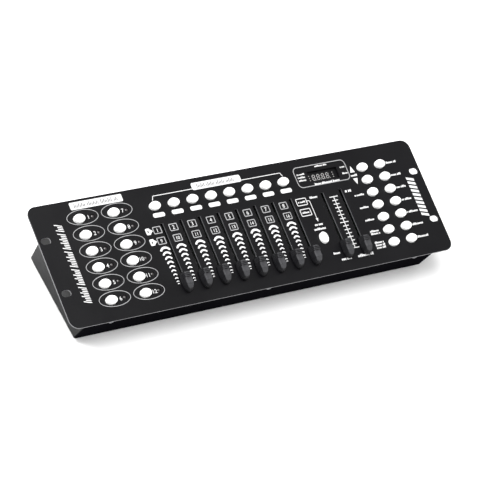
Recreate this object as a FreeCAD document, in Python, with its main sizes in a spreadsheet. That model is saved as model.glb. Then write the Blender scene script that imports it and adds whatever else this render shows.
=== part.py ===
import FreeCAD, Part
import os
import Sketcher
from FreeCAD import Vector

# A rack-width lighting control desk: a flat steel panel with push buttons and slide faders
# on a wedge-shaped sheet-metal base.  Millimetres.  +Z is up, +X is to the operator's right,
# +Y is away from the operator.  The origin is the centre of the footprint, on the table.
#
# Most pieces are laid out in the panel's own frame: x to the right, y up the slope, z out of
# the panel's top face, with the panel's centre as its origin.

SIZES = {
    # panel
    "panel_width": 482.6,
    "panel_depth": 132.5,
    "panel_sheet": 1.5,
    "panel_corner": 10.0,
    "tilt_angle": 12.0,
    "rack_inset": 8.75,
    "rack_hole_rise": 57.15,
    "rack_slot_long": 11.0,
    "rack_slot_wide": 7.0,
    # base
    "ear_width": 21.1,
    "base_sheet": 1.0,
    "base_corner": 2.0,
    "front_setback": 2.75,
    "front_height": 36.7,
    "rear_overhang": 17.0,
    "shoulder_height": 31.0,
    "shoulder_lean": 19.0,
    "foot_radius": 6.0,
    "foot_height": 3.0,
    "foot_taper": 0.8,
    "foot_inset": 20.0,
    "rail_leg": 9.0,
    "rail_sheet": 1.5,
    # control board
    "board_depth": 14.0,
    "board_sheet": 1.6,
    "board_margin": 6.0,
    "board_lap": 0.6,
    "screw_inset": 28.0,
    "screw_radius": 1.4,
    "head_tall": 1.6,
    "screw_reach": 1.0,
    "fit_gap": 0.15,
    "chip_tall": 2.4,
    "spacer_radius": 2.6,
    # push buttons and their switches
    "button_long": 12.5,
    "button_wide": 9.2,
    "button_rise": 3.5,
    "button_gap": 0.35,
    "button_lip": 1.1,
    "lip_thick": 1.0,
    "press_gap": 0.4,
    "button_travel": 0.6,
    "stem_radius": 1.8,
    "switch_side": 6.0,
    "switch_body": 3.5,
    "switch_tall": 5.0,
    # button rows
    "scan_left": -187.5,
    "scan_columns": 40.6,
    "scan_top": 44.9,
    "scan_rows": 17.96,
    "scene_left": -97.6,
    "channel_pitch": 23.09,
    "scene_row": 43.6,
    "mode_left": 168.6,
    "mode_columns": 23.9,
    "mode_top": 43.4,
    "mode_rows": 14.8,
    "page_across": 84.8,
    "page_row": -25.6,
    # faders
    "fader_travel": 60.0,
    "fader_low": -42.7,
    "speed_across": 106.0,
    "fade_across": 130.0,
    "slot_wide": 4.0,
    "slot_end": 4.6,
    "lever_wide": 1.4,
    "lever_long": 5.0,
    "track_gap": 0.8,
    "track_floor": 1.2,
    "track_wide": 8.6,
    "track_tall": 7.0,
    "track_extra": 26.0,
    "cap_long": 21.0,
    "cap_wide": 10.4,
    "cap_tall": 10.6,
    "cap_clear": 1.0,
    "cap_skirt": 2.3,
    "cap_draft": 1.7,
    "cap_heel_run": 2.6,
    "cap_ridge_run": 6.4,
    "cap_step_run": 8.0,
    "cap_step_drop": 1.4,
    "cap_nose_run": 6.5,
    "cap_nose_wide": 4.4,
    "cap_nose_drop": 1.8,
    "cap_tip_run": 2.2,
    "cap_tip_drop": 3.6,
    "lever_depth": 4.5,
    # lamps and display
    "lamp_radius": 2.0,
    "lamp_gap": 0.15,
    "lamp_offset": 16.8,
    "lamp_rise": 0.7,
    "lamp_collar": 0.4,
    "lamp_collar_tall": 1.0,
    "lamp_collar_drop": 1.5,
    "window_left": 98.0,
    "window_long": 39.0,
    "window_low": 37.5,
    "window_wide": 12.5,
    "module_drop": 1.2,
    "module_border": 1.5,
    "module_tall": 8.0,
    # rear wall
    "xlr_across": 150.0,
    "xlr_flange_wide": 26.0,
    "xlr_flange_tall": 24.0,
    "xlr_flange_sheet": 2.0,
    "xlr_shell_radius": 10.8,
    "xlr_ring_radius": 9.6,
    "xlr_core_radius": 7.6,
    "xlr_depth": 20.0,
    "xlr_ring_depth": 15.0,
    "xlr_core_foot": 0.5,
    "xlr_core_sink": 1.0,
    "contact_radius": 1.25,
    "contact_depth": 12.0,
    "contact_side": 3.8,
    "contact_rise": 1.9,
    "contact_drop": 4.2,
    "midi_across": 95.0,
    "midi_radius": 8.6,
    "midi_proud": 0.5,
    "midi_barrel_depth": 4.0,
    "midi_case_depth": 12.0,
    "midi_border": 1.0,
    "midi_hole_radius": 0.9,
    "midi_hole_depth": 9.0,
    "midi_ring_radius": 5.0,
    "midi_ring_drop": 1.5,
    "power_across": -150.0,
    "jack_radius": 5.6,
    "jack_bore": 3.1,
    "jack_pin": 1.05,
    "jack_proud": 1.0,
    "jack_depth": 11.0,
    "jack_rim": 1.2,
    "jack_bore_depth": 9.0,
    "jack_pin_foot": 0.5,
    "jack_pin_sink": 0.3,
    "rocker_across": -185.0,
    "rocker_wide": 19.0,
    "rocker_tall": 13.0,
    "rocker_angle": 20.0,
    "rocker_gap": 0.5,
    "rocker_end_gap": 0.9,
    "rocker_sheet": 3.2,
    "rocker_heel": 2.2,
    "rocker_hub_out": 0.2,
    "bezel_border": 1.5,
    "bezel_sheet": 1.6,
    "switch_gap": 0.2,
    "switch_wall": 1.2,
    "switch_depth": 15.0,
    "hollow_depth": 8.0,
    "rear_row": 17.5,
}
SCAN_ROWS = 6
SCAN_COLUMNS = 2
CHANNELS = 8
MODE_ROWS = 7
MODE_COLUMNS = 2

doc = FreeCAD.newDocument("lighting_control_desk")
sheet = doc.addObject("Spreadsheet::Sheet", "Sizes")
for row, (alias, size) in enumerate(SIZES.items(), 1):
    sheet.set(f"A{row}", alias)
    sheet.set(f"B{row}", str(size))
    sheet.setAlias(f"B{row}", alias)
doc.recompute()

nodes = []


def bind(thing, **expressions):
    """Bind properties of a document object to expressions of the sheet's sizes."""
    for name, expression in expressions.items():
        thing.setExpression(name, words(expression))


def words(expression):
    """Write an expression in the sheet's own names, so that $width reads Sizes.width."""
    return str(expression).replace("$", "Sizes.")


def placement(x, y, z, axis="0; 0; 1", angle="0"):
    return (f"create(<<placement>>; create(<<vector>>; {words(x)}; {words(y)}; {words(z)}); "
            f"create(<<rotation>>; create(<<vector>>; {axis}); {words(angle)}))")


# The panel's centre stands over the middle of the footprint, as high as the feet, the front
# wall and the slope put it.
PANEL_Y = "-$panel_sheet * sin($tilt_angle) / 2"
PANEL_Z = ("$foot_height + ($panel_depth / 2 - $front_setback) * sin($tilt_angle)"
           " + ($panel_sheet + $front_height) * cos($tilt_angle)")
PANEL_FRAME = placement("0", PANEL_Y, PANEL_Z, "1; 0; 0", "$tilt_angle")
BASE_WIDE = "($panel_width - 2 * $ear_width)"
UNDER = "-$panel_sheet"
BOARD = "-$board_depth"

# The base's section, in the desk's frame: the front wall is square to the panel, the floor is
# level, the rear wall is plumb up to a shoulder and leans out from there to make room for the
# control board, and the open top lies against the panel.
FRONT_EDGE = "-$panel_depth / 2 + $front_setback"
FRONT_TOP = (f"{PANEL_Y} + ({FRONT_EDGE}) * cos($tilt_angle) + $panel_sheet * sin($tilt_angle)",
             f"{PANEL_Z} + ({FRONT_EDGE}) * sin($tilt_angle) - $panel_sheet * cos($tilt_angle)")
FRONT_LOW = (f"{FRONT_TOP[0]} + $front_height * sin($tilt_angle)", "$foot_height")
REAR_WALL_Y = f"({PANEL_Y} + $panel_depth / 2 * cos($tilt_angle) - $rear_overhang)"
REAR_LOW = (REAR_WALL_Y, "$foot_height")
SHOULDER = (REAR_WALL_Y, "$foot_height + $shoulder_height")
# How far the leaning stretch goes before it meets the panel's underside.
LEAN_LONG = (f"(({PANEL_Z} - $panel_sheet / cos($tilt_angle) - ({SHOULDER[1]})"
             f" + ({REAR_WALL_Y} - ({PANEL_Y})) * tan($tilt_angle))"
             " / (cos($shoulder_lean) - sin($shoulder_lean) * tan($tilt_angle)))")
REAR_TOP = (f"{REAR_WALL_Y} + {LEAN_LONG} * sin($shoulder_lean)",
            f"{SHOULDER[1]} + {LEAN_LONG} * cos($shoulder_lean)")
# A frame on the leaning stretch: its origin is the top of the outer face, its y comes
# straight out of that face and its z runs up along it.
SHOULDER_FRAME = placement("0", REAR_TOP[0], REAR_TOP[1], "1; 0; 0", "-$shoulder_lean")
RAIL_TOP = "-($base_sheet + $rail_sheet) * tan($tilt_angle + $shoulder_lean)"
SCREW_DROP = f"{UNDER} - $rail_leg / 2"


def on_panel(thing, x, y, z="0", angle="0"):
    """Place an object in the panel's frame."""
    bind(thing, Placement=f"{PANEL_FRAME} * {placement(x, y, z, angle=angle)}")
    return thing


def on_table(thing, x, y, z="0", axis="0; 0; 1", angle="0"):
    """Place an object in the desk's own frame."""
    bind(thing, Placement=placement(x, y, z, axis, angle))
    return thing


def on_shoulder(thing, x, y, z):
    """Place an object in the frame of the rear wall's leaning stretch."""
    bind(thing, Placement=f"{SHOULDER_FRAME} * {placement(x, y, z)}")
    return thing


def on_rear_wall(thing, x, z, out="0"):
    """Place an object whose own +Z comes straight out of the rear wall."""
    return on_table(thing, x, f"{REAR_WALL_Y} + {out}", z, "1; 0; 0", "-90")


def primitive(kind, name, **sizes):
    thing = doc.addObject(f"Part::{kind}", name)
    bind(thing, **{key: words(size) for key, size in sizes.items()})
    return thing


def block(name, length, width, height):
    return primitive("Box", name, Length=length, Width=width, Height=height)


def disc(name, radius, height):
    return primitive("Cylinder", name, Radius=radius, Height=height)


def cut(name, base, tool):
    thing = doc.addObject("Part::Cut", name)
    thing.Base = base
    thing.Tool = tool
    return thing


def fuse(name, pieces):
    thing = doc.addObject("Part::MultiFuse", name)
    thing.Shapes = pieces
    return thing


def group(name, pieces):
    """Hold several separate solids as one sub-part."""
    thing = doc.addObject("Part::Compound", name)
    thing.Links = pieces
    return thing


def finish(thing, label):
    thing.Label = label
    nodes.append(thing)
    return thing


# ---------------------------------------------------------------- sketches and features

def body_named(name):
    return doc.addObject("PartDesign::Body", name)


def sketch_on(body, name, role="XY_Plane", rise=None):
    sketch = body.newObject("Sketcher::SketchObject", name)
    plane = [item for item in body.Origin.OriginFeatures if item.Role == role][0]
    sketch.AttachmentSupport = [(plane, "")]
    sketch.MapMode = "FlatFace"
    if rise is not None:
        sketch.setExpression("AttachmentOffset.Base.z", words(rise))
    return sketch


def fix(sketch, kind, *places, value):
    """Add a sized constraint and bind it; its first value comes from the sheet as well."""
    start = float(sketch.evalExpression(words(value)))
    index = sketch.addConstraint(Sketcher.Constraint(kind, *places, start))
    sketch.setExpression(f"Constraints[{index}]", words(value))


def polygon(sketch, corners):
    """Draw a closed outline whose corners are pairs of expressions."""
    spots = [Vector(*(float(sketch.evalExpression(words(part))) for part in corner), 0)
             for corner in corners]
    first = sketch.GeometryCount
    count = len(corners)
    for i in range(count):
        sketch.addGeometry(Part.LineSegment(spots[i], spots[(i + 1) % count]))
    for i in range(count):
        sketch.addConstraint(
            Sketcher.Constraint("Coincident", first + i, 2, first + (i + 1) % count, 1))
    for i, (x, y) in enumerate(corners):
        fix(sketch, "DistanceX", -1, 1, first + i, 1, value=x)
        fix(sketch, "DistanceY", -1, 1, first + i, 1, value=y)


def rectangle(sketch, x, y, length, width):
    """Draw a rectangle about the centre x, y."""
    left = f"({x}) - ({length}) / 2"
    right = f"({x}) + ({length}) / 2"
    low = f"({y}) - ({width}) / 2"
    high = f"({y}) + ({width}) / 2"
    polygon(sketch, [(left, low), (right, low), (right, high), (left, high)])


def circle(sketch, x, y, radius):
    spot = Vector(*(float(sketch.evalExpression(words(part))) for part in (x, y)), 0)
    size = float(sketch.evalExpression(words(radius)))
    index = sketch.addGeometry(Part.Circle(spot, Vector(0, 0, 1), size))
    fix(sketch, "DistanceX", -1, 1, index, 3, value=x)
    fix(sketch, "DistanceY", -1, 1, index, 3, value=y)
    fix(sketch, "Radius", index, value=radius)


def oval(sketch, x, y, length, width, upright=False):
    """Draw an ellipse about x, y with its long way along the sketch's x, or up its y."""
    across, up, half_long, half_wide = (
        float(sketch.evalExpression(words(part)))
        for part in (x, y, f"({length}) / 2", f"({width}) / 2"))
    middle = Vector(across, up, 0)
    long_way = Vector(0, half_long, 0) if upright else Vector(half_long, 0, 0)
    wide_way = Vector(-half_wide, 0, 0) if upright else Vector(0, half_wide, 0)
    index = sketch.addGeometry(Part.Ellipse(middle + long_way, middle + wide_way, middle))
    sketch.exposeInternalGeometry(index)
    fix(sketch, "DistanceX", -1, 1, index, 3, value=x)
    fix(sketch, "DistanceY", -1, 1, index, 3, value=y)
    fix(sketch, "Distance", index + 1, value=length)
    fix(sketch, "Distance", index + 2, value=width)
    direction = "Vertical" if upright else "Horizontal"
    sketch.addConstraint(Sketcher.Constraint(direction, index + 1))


def pad(body, name, sketch, length, reversed_way=False, both_ways=False):
    feature = body.newObject("PartDesign::Pad", name)
    feature.Profile = sketch
    feature.Reversed = reversed_way
    feature.Midplane = both_ways
    bind(feature, Length=words(length))
    return feature


def pocket(body, name, sketch, length, reversed_way=False, both_ways=False):
    """Cut a sketch out of a body, and make sure that it did cut."""
    doc.recompute()
    before = body.Tip.Shape.Volume
    feature = body.newObject("PartDesign::Pocket", name)
    feature.Profile = sketch
    feature.Reversed = reversed_way
    feature.Midplane = both_ways
    bind(feature, Length=words(length))
    doc.recompute()
    if feature.Shape.Volume > before - 0.1:
        raise RuntimeError(f"{name} cuts nothing")
    return feature


def repeat(body, name, feature, sketch, axis, pitch, count):
    """Repeat a feature to the right along the sketch's x, or down along its y."""
    pattern = body.newObject("PartDesign::LinearPattern", name)
    pattern.Originals = [feature]
    pattern.Direction = (sketch, [axis])
    pattern.Reversed = axis == "V_Axis"
    pattern.Mode = "Spacing"
    pattern.Occurrences = count
    bind(pattern, Offset=words(pitch))
    body.Tip = pattern
    doc.recompute()


def edges_where(shape, test):
    return [f"Edge{i}" for i, edge in enumerate(shape.Edges, 1) if test(edge)]


def rounded(body, name, radius, test):
    """Round the edges of the body that pass a test."""
    doc.recompute()
    base = body.Tip
    fillet = body.newObject("PartDesign::Fillet", name)
    fillet.Base = (base, edges_where(base.Shape, test))
    bind(fillet, Radius=words(radius))
    return fillet


def along(direction):
    """Test for a straight edge that runs along a direction."""
    def test(edge):
        if edge.Curve.TypeId != "Part::GeomLine":
            return False
        return abs(abs(edge.Curve.Direction.dot(direction)) - 1) < 1e-6
    return test


# ---------------------------------------------------------------- where the controls are

def spot(name, x, y):
    return {"name": name, "x": x, "y": y}


scan_buttons = [
    spot(f"scan_button_{column * SCAN_ROWS + row + 1}",
         f"$scan_left + {column} * $scan_columns", f"$scan_top - {row} * $scan_rows")
    for column in range(SCAN_COLUMNS) for row in range(SCAN_ROWS)]
scene_buttons = [
    spot(f"scene_button_{i + 1}", f"$scene_left + {i} * $channel_pitch", "$scene_row")
    for i in range(CHANNELS)]
mode_buttons = [
    spot(f"mode_button_{column * MODE_ROWS + row + 1}",
         f"$mode_left + {column} * $mode_columns", f"$mode_top - {row} * $mode_rows")
    for column in range(MODE_COLUMNS) for row in range(MODE_ROWS)]
page_button = spot("page_button", "$page_across", "$page_row")
buttons = scan_buttons + scene_buttons + mode_buttons + [page_button]
faders = [
    spot(f"channel_fader_{i + 1}", f"$scene_left + {i} * $channel_pitch", "$fader_low")
    for i in range(CHANNELS)]
faders += [spot("speed_fader", "$speed_across", "$fader_low"),
           spot("fade_fader", "$fade_across", "$fader_low")]

SLOT_LONG = "$fader_travel + $lever_long + 2 * $slot_end"
SLOT_MIDDLE = "($fader_low + $fader_travel / 2)"


# ---------------------------------------------------------------- front panel

def panel_cut(body, name, draw, axis="H_Axis", pitch=None, count=1):
    """Cut openings through the panel and repeat them along the sketch's x or down its y."""
    sketch = sketch_on(body, f"{name}_outline")
    draw(sketch)
    feature = pocket(body, name, sketch, "3 * $panel_sheet", both_ways=True)
    if pitch:
        repeat(body, f"{name}_row", feature, sketch, axis, pitch, count)


def each(places, shape):
    """Draw one shape about every place."""
    def draw(sketch):
        for place in places:
            shape(sketch, place["x"], place["y"])
    return draw


def button_hole(sketch, x, y, upright=False):
    oval(sketch, x, y, "$button_long + 2 * $button_gap", "$button_wide + 2 * $button_gap",
         upright)


def lever_slot(sketch, x, _):
    rectangle(sketch, x, SLOT_MIDDLE, "$slot_wide", SLOT_LONG)


def lamp_hole(sketch, x, y):
    circle(sketch, f"{x} + $lamp_offset", f"{y} + $lamp_rise", "$lamp_radius + $lamp_gap")


RACK_X = "$panel_width / 2 - $rack_inset"
RACK_Y = "$rack_hole_rise / 2"
RACK_SLOTS = [{"x": f"-({RACK_X})", "y": RACK_Y}, {"x": RACK_X, "y": RACK_Y}]
RACK_SLOT_ENDS = [
    {"x": f"{slot['x']} + {side} * ($rack_slot_long - $rack_slot_wide) / 2", "y": RACK_Y}
    for slot in RACK_SLOTS for side in (-1, 1)]


def make_front_panel():
    body = body_named("panel_plate")
    outline = sketch_on(body, "panel_outline")
    rectangle(outline, "0", "0", "$panel_width", "$panel_depth")
    pad(body, "plate", outline, "$panel_sheet", reversed_way=True)
    rounded(body, "plate_corners", "$panel_corner", along(Vector(0, 0, 1)))

    # Rack slots: a straight middle with round ends, in two rows.
    panel_cut(body, "rack_slot", each(RACK_SLOTS, lambda sketch, x, y: rectangle(
        sketch, x, y, "$rack_slot_long - $rack_slot_wide", "$rack_slot_wide")),
        "V_Axis", "$rack_hole_rise", 2)
    for i in range(2):
        panel_cut(body, f"rack_slot_ends_{i + 1}", each(RACK_SLOT_ENDS[i::2], lambda sketch, x, y:
                  circle(sketch, x, y, "$rack_slot_wide / 2")), "V_Axis", "$rack_hole_rise", 2)

    first_of_columns = scan_buttons[::SCAN_ROWS]
    panel_cut(body, "scan_hole", each(first_of_columns, button_hole),
              "V_Axis", "$scan_rows", SCAN_ROWS)
    panel_cut(body, "lamp_hole", each(first_of_columns, lamp_hole),
              "V_Axis", "$scan_rows", SCAN_ROWS)
    panel_cut(body, "mode_hole", each(mode_buttons[::MODE_ROWS], button_hole),
              "V_Axis", "$mode_rows", MODE_ROWS)
    panel_cut(body, "scene_hole", each(scene_buttons[:1], button_hole),
              "H_Axis", "$channel_pitch", CHANNELS)
    panel_cut(body, "page_hole", lambda sketch: button_hole(
        sketch, page_button["x"], page_button["y"], upright=True))
    panel_cut(body, "channel_slot", each(faders[:1], lever_slot),
              "H_Axis", "$channel_pitch", CHANNELS)
    panel_cut(body, "master_slot", each(faders[CHANNELS:], lever_slot))
    panel_cut(body, "display_window", lambda sketch: rectangle(
        sketch, "$window_left + $window_long / 2", "$window_low + $window_wide / 2",
        "$window_long", "$window_wide"))
    on_panel(body, "0", "0")

    # Two folded angles are welded under the plate; the base is screwed to them.
    length = f"{BASE_WIDE} - 2 * $base_sheet - 2 * $base_corner"
    left = f"-({length}) / 2"
    inner = f"{FRONT_EDGE} + $base_sheet"
    front_leg = block("front_rail_leg", length, "$rail_sheet", "$rail_leg")
    on_panel(front_leg, left, inner, f"{UNDER} - $rail_leg")
    front_foot = block("front_rail_foot", length, "$rail_leg", "$rail_sheet")
    on_panel(front_foot, left, inner, f"{UNDER} - $rail_sheet")
    front_rail = fuse("front_rail_solid", [front_leg, front_foot])
    rear_leg = block("rear_rail_leg", length, "$rail_sheet", "$rail_leg")
    on_shoulder(rear_leg, left, "-$base_sheet - $rail_sheet",
                f"{RAIL_TOP} - $rail_leg")
    screws = screw_rods("rail_thread", "$screw_radius", "$base_sheet + $rail_sheet + $screw_reach")
    return group("front_panel_parts", [
        body,
        cut("front_rail", front_rail, group("front_threads", screws[:3])),
        cut("rear_rail", rear_leg, group("rear_threads", screws[3:]))])


# ---------------------------------------------------------------- base

def make_bottom_chassis():
    """Fold a pan: walls all round, a level floor, and no top."""
    body = body_named("chassis_pan")
    section = sketch_on(body, "chassis_section", "YZ_Plane")
    polygon(section, [FRONT_TOP, FRONT_LOW, REAR_LOW, SHOULDER, REAR_TOP])
    pad(body, "wedge", section, BASE_WIDE, both_ways=True)

    def bend(edge):
        """Pick the floor's edges and the upright corners, but not the shoulder's fold."""
        level = all(abs(vertex.Z - SIZES["foot_height"]) < 1e-6 for vertex in edge.Vertexes)
        upright = abs(edge.Vertexes[0].Z - edge.Vertexes[1].Z) > SIZES["base_corner"]
        return level or upright

    rounded(body, "bends", "$base_corner", bend)
    inside = sketch_on(body, "chassis_inside", "YZ_Plane")
    floor = "$foot_height + $base_sheet"
    clear = "(2 * $base_sheet)"
    polygon(inside, [
        (f"{FRONT_TOP[0]} + $base_sheet * cos($tilt_angle) - {clear} * sin($tilt_angle)",
         f"{FRONT_TOP[1]} + $base_sheet * sin($tilt_angle) + {clear} * cos($tilt_angle)"),
        (f"{FRONT_TOP[0]} + $base_sheet * cos($tilt_angle)"
         f" + ({FRONT_TOP[1]} + $base_sheet * sin($tilt_angle) - ({floor})) * tan($tilt_angle)",
         floor),
        (f"{REAR_WALL_Y} - $base_sheet", floor),
        (f"{REAR_WALL_Y} - $base_sheet",
         f"{SHOULDER[1]} + $base_sheet * tan($shoulder_lean / 2)"),
        (f"{REAR_TOP[0]} - $base_sheet * cos($shoulder_lean) + {clear} * sin($shoulder_lean)",
         f"{REAR_TOP[1]} + $base_sheet * sin($shoulder_lean) + {clear} * cos($shoulder_lean)")])
    pocket(body, "pan", inside, f"{BASE_WIDE} - 2 * $base_sheet", both_ways=True)

    def rear_cut(name, draw):
        """Cut the rear wall; the sketch's plane is the wall's outer face."""
        sketch = sketch_on(body, f"{name}_outline", "XZ_Plane", f"-({REAR_WALL_Y})")
        draw(sketch)
        pocket(body, name, sketch, "4 * $base_sheet", both_ways=True)

    rear_cut("xlr_hole", lambda sketch: circle(
        sketch, "$xlr_across", "$rear_row", "$xlr_shell_radius + $fit_gap"))
    rear_cut("midi_hole", lambda sketch: circle(
        sketch, "$midi_across", "$rear_row", "$midi_radius + $fit_gap"))
    rear_cut("jack_hole", lambda sketch: circle(
        sketch, "$power_across", "$rear_row", "$jack_radius + $fit_gap"))
    rear_cut("rocker_hole", lambda sketch: rectangle(
        sketch, "$rocker_across", "$rear_row", "$rocker_wide", "$rocker_tall"))
    holes = screw_rods("wall_hole", "$screw_radius + $fit_gap", "$base_sheet + $screw_reach")
    return cut("chassis_drilled", body, group("wall_holes", holes))


def make_rubber_feet():
    feet = []
    for across in (-1, 1):
        for row, back in (("front", f"{FRONT_LOW[0]} + $foot_inset"),
                          ("rear", f"{REAR_WALL_Y} - $foot_inset")):
            foot = primitive("Cone", f"foot_{across + 1}_{row}",
                             Radius1="$foot_radius - $foot_taper", Radius2="$foot_radius",
                             Height="$foot_height")
            feet.append(on_table(foot, f"{across} * ({BASE_WIDE} / 2 - $foot_inset)", back))
    return group("feet", feet)


def screw_rods(name, radius, length, out="0"):
    """Make one rod for each case screw, three in the front wall and then three in the rear.

    Each rod starts at a wall's outer face, moved out by the length given, and runs inwards.
    """
    rods = []
    across = ((f"-{BASE_WIDE} / 2 + $screw_inset"), "0", f"{BASE_WIDE} / 2 - $screw_inset")
    for i, x in enumerate(across, 1):
        rod = disc(f"{name}_front_{i}", radius, length)
        start = placement(x, f"{FRONT_EDGE} - ({out})", SCREW_DROP, "1; 0; 0", "-90")
        bind(rod, Placement=f"{PANEL_FRAME} * {start}")
        rods.append(rod)
    for i, x in enumerate(across, 1):
        rod = disc(f"{name}_rear_{i}", radius, length)
        start = placement(x, out, f"{RAIL_TOP} - $rail_leg / 2", "1; 0; 0", "90")
        bind(rod, Placement=f"{SHOULDER_FRAME} * {start}")
        rods.append(rod)
    return rods


def make_case_screws():
    """Pan-head screws through the walls into the rails."""
    heads = screw_rods("head", "2 * $screw_radius", "$head_tall", "$head_tall")
    shanks = screw_rods("shank", "$screw_radius", "$base_sheet + $rail_sheet + $screw_reach")
    return group("screws", [fuse(f"screw_{i}", pair)
                            for i, pair in enumerate(map(list, zip(heads, shanks)), 1)])


# ---------------------------------------------------------------- control board

BOARD_LEFT = f"-{BASE_WIDE} / 2 + $base_sheet + $board_margin"
BOARD_LONG = f"{BASE_WIDE} - 2 * $base_sheet - 2 * $board_margin"
BOARD_FRONT = f"{FRONT_EDGE} + $base_sheet + $board_margin / 2"
REAR_TURN = "($tilt_angle + $shoulder_lean)"
# The inner face of the leaning wall, level with the board's underside.
REAR_INNER = (f"(({REAR_TOP[0]} - ({PANEL_Y}) - $panel_sheet * sin($tilt_angle))"
              " / cos($tilt_angle) - ($board_depth + $board_sheet - $panel_sheet)"
              f" * tan({REAR_TURN}) - $base_sheet / cos({REAR_TURN}))")
BOARD_REAR = (f"min($scan_top + $switch_side / 2 + $board_lap; {REAR_INNER} - $fit_gap)")
SPACER_SIDE = f"({BASE_WIDE} / 2 - $base_sheet - $board_margin - 2 * $spacer_radius)"
SPACER_COLUMNS = (f"-{SPACER_SIDE}", "$scene_left - $channel_pitch",
                  "$page_across - $channel_pitch / 2", "$fade_across + $channel_pitch",
                  SPACER_SIDE)
SPACER_ROWS = ("$scene_row - $button_long", f"{FRONT_EDGE} + $base_sheet + $rail_leg"
               " + 1.5 * $spacer_radius")


# Each chip's name, its near left corner in the panel's frame, its length and its width.
CHIPS = (("processor", -150, -8, 24, 24), ("memory", -40, -8, 18, 10),
         ("driver", 60, -8, 12, 8), ("regulator", 180, -8, 14, 10))


def make_control_board():
    plate = block("board_plate", BOARD_LONG, f"{BOARD_REAR} - ({BOARD_FRONT})", "$board_sheet")
    on_panel(plate, BOARD_LEFT, BOARD_FRONT, f"{BOARD} - $board_sheet")
    chips = []
    for name, x, y, length, width in CHIPS:
        chip = block(f"{name}_chip", f"{length}", f"{width}", "$chip_tall")
        chips.append(on_panel(chip, f"{x}", f"{y}", f"{BOARD} - $board_sheet - $chip_tall"))
    return group("board", [plate] + chips)


def make_board_spacers():
    spacers = []
    for column, x in enumerate(SPACER_COLUMNS, 1):
        for row, y in enumerate(SPACER_ROWS, 1):
            spacer = disc(f"spacer_{column}_{row}", "$spacer_radius",
                          "$board_depth - $panel_sheet")
            spacers.append(on_panel(spacer, x, y, BOARD))
    return group("spacers", spacers)


def make_fader_tracks():
    """Slide controls on the board: a long case with a groove for the lever."""
    tracks = []
    groove_long = "($fader_travel + $lever_long + 4 * $track_gap)"
    for place in faders:
        name = place["name"]
        length = "($fader_travel + $track_extra)"
        case = block(f"{name}_case", "$track_wide", length, "$track_tall")
        on_panel(case, f"{place['x']} - $track_wide / 2", f"{SLOT_MIDDLE} - {length} / 2", BOARD)
        groove = block(f"{name}_groove", "$lever_wide + 2 * $track_gap", groove_long,
                       "$track_tall")
        on_panel(groove, f"{place['x']} - $lever_wide / 2 - $track_gap",
                 f"{SLOT_MIDDLE} - {groove_long} / 2", f"{BOARD} + $track_floor")
        tracks.append(cut(f"{name}_track", case, groove))
    return group("tracks", tracks)


def make_tact_switches():
    switches = []
    for place in buttons:
        name = place["name"]
        case = block(f"{name}_switch_case", "$switch_side", "$switch_side", "$switch_body")
        on_panel(case, f"{place['x']} - $switch_side / 2", f"{place['y']} - $switch_side / 2",
                 BOARD)
        plunger = disc(f"{name}_plunger", "$stem_radius", "$switch_tall")
        on_panel(plunger, place["x"], place["y"], BOARD)
        switches.append(fuse(f"{name}_switch", [case, plunger]))
    return group("switches", switches)


def make_indicator_lamps():
    """Round lamps on the board, each with a collar, that end level with the panel's top."""
    lamps = []
    for place in scan_buttons:
        name = place["name"]
        x = f"{place['x']} + $lamp_offset"
        y = f"{place['y']} + $lamp_rise"
        rod = on_panel(disc(f"{name}_lamp_rod", "$lamp_radius", "$board_depth"), x, y, BOARD)
        collar = disc(f"{name}_lamp_collar", "$lamp_radius + $lamp_collar",
                      "$lamp_collar_tall")
        on_panel(collar, x, y, f"{UNDER} - $lamp_collar_drop")
        lamps.append(fuse(f"{name}_lamp", [rod, collar]))
    return group("lamps", lamps)


def make_display_module():
    """A digit block behind the window, on a narrower header that stands on the board."""
    length = "$window_long + 2 * $module_border"
    face = f"{UNDER} - $module_drop"
    module = block("digit_block", length, "$window_wide + 2 * $module_border", "$module_tall")
    on_panel(module, "$window_left - $module_border", "$window_low - $module_border",
             f"{face} - $module_tall")
    header = block("display_header", length, "$window_wide / 2",
                   "$board_depth - $panel_sheet - $module_drop - $module_tall")
    on_panel(header, "$window_left - $module_border", "$window_low", BOARD)
    return fuse("display", [module, header])


# ---------------------------------------------------------------- push buttons and faders

def make_button(place, angle="0"):
    """A moulded cap with a lip under the panel and a stem over its switch."""
    name = place["name"]
    body = body_named(name)
    lip_top = f"{UNDER} - $button_gap"
    lip = sketch_on(body, f"{name}_lip_outline", rise=lip_top)
    oval(lip, "0", "0", "$button_long + 2 * $button_lip", "$button_wide + 2 * $button_lip")
    pad(body, f"{name}_lip", lip, "$lip_thick", reversed_way=True)
    cap = sketch_on(body, f"{name}_cap_outline", rise=lip_top)
    oval(cap, "0", "0", "$button_long", "$button_wide")
    pad(body, f"{name}_cap", cap, "$panel_sheet + $button_gap + $button_rise")
    stem = sketch_on(body, f"{name}_stem_outline", rise=lip_top)
    circle(stem, "0", "0", "$stem_radius")
    reach = ("$board_depth - $panel_sheet - $button_gap - $switch_tall"
             " - $button_travel - $press_gap")
    pad(body, f"{name}_stem", stem, reach, reversed_way=True)
    rounded(body, f"{name}_crown", "$button_rise / 3",
            lambda edge: all(abs(vertex.Z - SIZES["button_rise"]) < 1e-6
                             for vertex in edge.Vertexes))
    return on_panel(body, place["x"], place["y"], angle=angle)


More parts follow.
